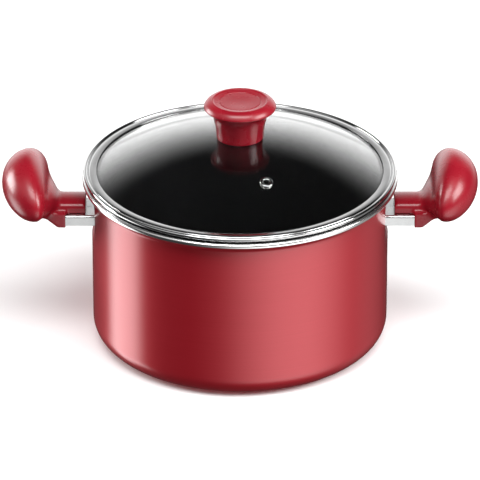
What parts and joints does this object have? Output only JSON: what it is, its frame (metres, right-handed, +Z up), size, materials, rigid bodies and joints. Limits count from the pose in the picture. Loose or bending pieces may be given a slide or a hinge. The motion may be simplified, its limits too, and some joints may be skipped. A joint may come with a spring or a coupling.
{
  "type": "stock pot",
  "caption": "Low round stock pot with upturned moulded side grips, a flared bare rim and a domed glass lid with a central knob and a steam hole.",
  "frame": {"origin": "centre of the base, on the surface that the pot stands on", "axes": "+X through the right handle, +Z up, +Y away from the side that the steam hole faces"},
  "size_m": [0.394, 0.2608, 0.2137],
  "materials": {
    "pot_lacquer": "satin metallic lacquer outside, dark non-stick inside",
    "base_steel": "spun satin",
    "bracket_steel": "polished sheet",
    "rivet_aluminium": "satin",
    "grip_red": "glossy moulded phenolic",
    "fastener_steel": "plated",
    "insert_brass": "turned",
    "lid_glass": "clear toughened",
    "lid_steel": "bright rolled steel",
    "liner": "soft heat-proof liner",
    "gasket": "soft heat-proof washer"
  },
  "bodies": {
    "pot": {"pot_body": "pot_lacquer", "base_disc": "base_steel", "handle_bracket_left": "bracket_steel", "handle_rivets_left": "rivet_aluminium", "handle_grip_left": "grip_red", "handle_screw_left": "fastener_steel", "handle_washer_left": "fastener_steel", "handle_insert_left": "insert_brass", "handle_bracket_right": "bracket_steel", "handle_rivets_right": "rivet_aluminium", "handle_grip_right": "grip_red", "handle_screw_right": "fastener_steel", "handle_washer_right": "fastener_steel", "handle_insert_right": "insert_brass"},
    "lid": {"lid_glass": "lid_glass", "lid_band": "lid_steel", "band_liner": "liner", "vent_eyelet": "lid_steel", "knob": "grip_red", "knob_insert": "insert_brass", "knob_seat": "gasket", "knob_gasket": "gasket", "knob_washer": "fastener_steel", "knob_screw": "fastener_steel"}
  },
  "joints": [
    {"name": "lid_lift", "type": "slide", "parent": "pot", "child": "lid", "axis": [0, 0, 1], "range_m": [0, 0.15]}
  ]
}
